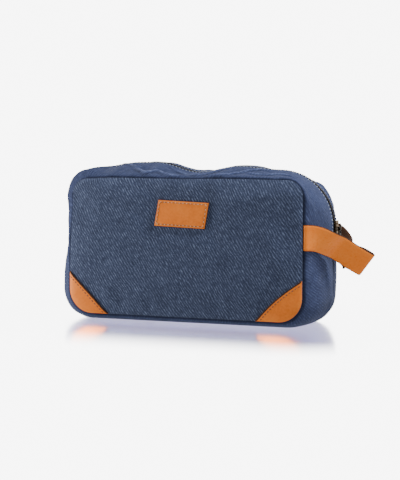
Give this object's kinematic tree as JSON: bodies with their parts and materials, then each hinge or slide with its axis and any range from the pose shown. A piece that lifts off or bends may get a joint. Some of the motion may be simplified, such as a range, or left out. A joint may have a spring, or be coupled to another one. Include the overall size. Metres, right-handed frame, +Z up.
{
  "type": "shaving kit bag",
  "caption": "Soft rectangular canvas toiletry bag with a zip over its bulging top, tan leather lower corners, a leather label and a folded leather hand strap at one end.",
  "frame": {"origin": "middle of the flat underside, on the surface that the bag stands on", "axes": "+X across the width towards the hand strap, -Y out of the front panel, +Z up"},
  "size_m": [0.3141, 0.1001, 0.1521],
  "materials": {
    "canvas": "navy woven canvas, matt, with paler flecks in the weave",
    "interlining": "pale grey foam sheet",
    "lining": "dark plain-woven nylon with a slight sheen",
    "binding": "dark ribbed seam tape",
    "zip_tape": "dark ribbed zip tape",
    "zip_metal": "darkened antique brass teeth",
    "slider_metal": "antique bronze, worn bright on its edges",
    "strap_leather": "smooth tan leather with soft highlights and dark cut edges",
    "trim_leather": "smooth tan leather with fine grain and dark cut edges"
  },
  "bodies": {
    "bag": {"back_interlining_lower": "interlining", "back_lining_lower": "lining", "back_panel_lower": "canvas", "back_seam_binding_lower": "binding", "back_zip_gusset_left_end": "canvas", "back_zip_gusset_right_end": "canvas", "back_zip_lining_left_end": "lining", "back_zip_lining_right_end": "lining", "back_zip_tape_left_end": "zip_tape", "back_zip_tape_right_end": "zip_tape", "back_zip_teeth_left_end": "zip_metal", "back_zip_teeth_right_end": "zip_metal", "corner_patch_left": "trim_leather", "corner_patch_right": "trim_leather", "front_interlining": "interlining", "front_lining": "lining", "front_panel": "canvas", "front_seam_binding": "binding", "front_zip_gusset": "canvas", "front_zip_lining": "lining", "front_zip_tape": "zip_tape", "front_zip_teeth": "zip_metal", "gusset_interlining": "interlining", "gusset_lining": "lining", "label_patch": "trim_leather", "side_base_gusset": "canvas", "strap_back_anchor": "strap_leather", "strap_front_anchor": "strap_leather", "zip_bottom_stop": "zip_metal", "zip_top_stop_back": "zip_metal", "zip_top_stop_front": "zip_metal"},
    "back_flap": {"back_panel_upper": "canvas", "back_interlining_upper": "interlining", "back_lining_upper": "lining", "back_seam_binding_upper": "binding", "back_zip_gusset": "canvas", "back_zip_lining": "lining", "back_zip_tape": "zip_tape", "back_zip_teeth": "zip_metal"},
    "zip_slider": {"slider_body": "slider_metal", "slider_crown": "slider_metal"},
    "zip_pull": {"pull_tab": "slider_metal"},
    "hand_strap": {"strap_loop": "strap_leather"}
  },
  "joints": [
    {"name": "mouth_opening", "type": "hinge", "parent": "bag", "child": "back_flap", "pos_m": [0, 0.0493, 0.104], "axis": [-1, 0, 0], "range_deg": [0, 35], "deforming": ["back_zip_teeth", "back_zip_tape"]},
    {"name": "zip_slider_travel", "type": "hinge", "parent": "bag", "child": "zip_slider", "pos_m": [0.0825, 0, 0.094], "axis": [0, -1, 0], "range_deg": [0, 84]},
    {"name": "pull_tab_pivot", "type": "hinge", "parent": "zip_slider", "child": "zip_pull", "pos_m": [0.1399, 0, 0.094], "axis": [0, -1, 0], "range_deg": [-7, 168]},
    {"name": "strap_swing", "type": "hinge", "parent": "bag", "child": "hand_strap", "pos_m": [0.137, 0, 0.082], "axis": [0, -1, 0], "range_deg": [-15, 85], "deforming": ["strap_front_anchor", "strap_back_anchor"]}
  ]
}
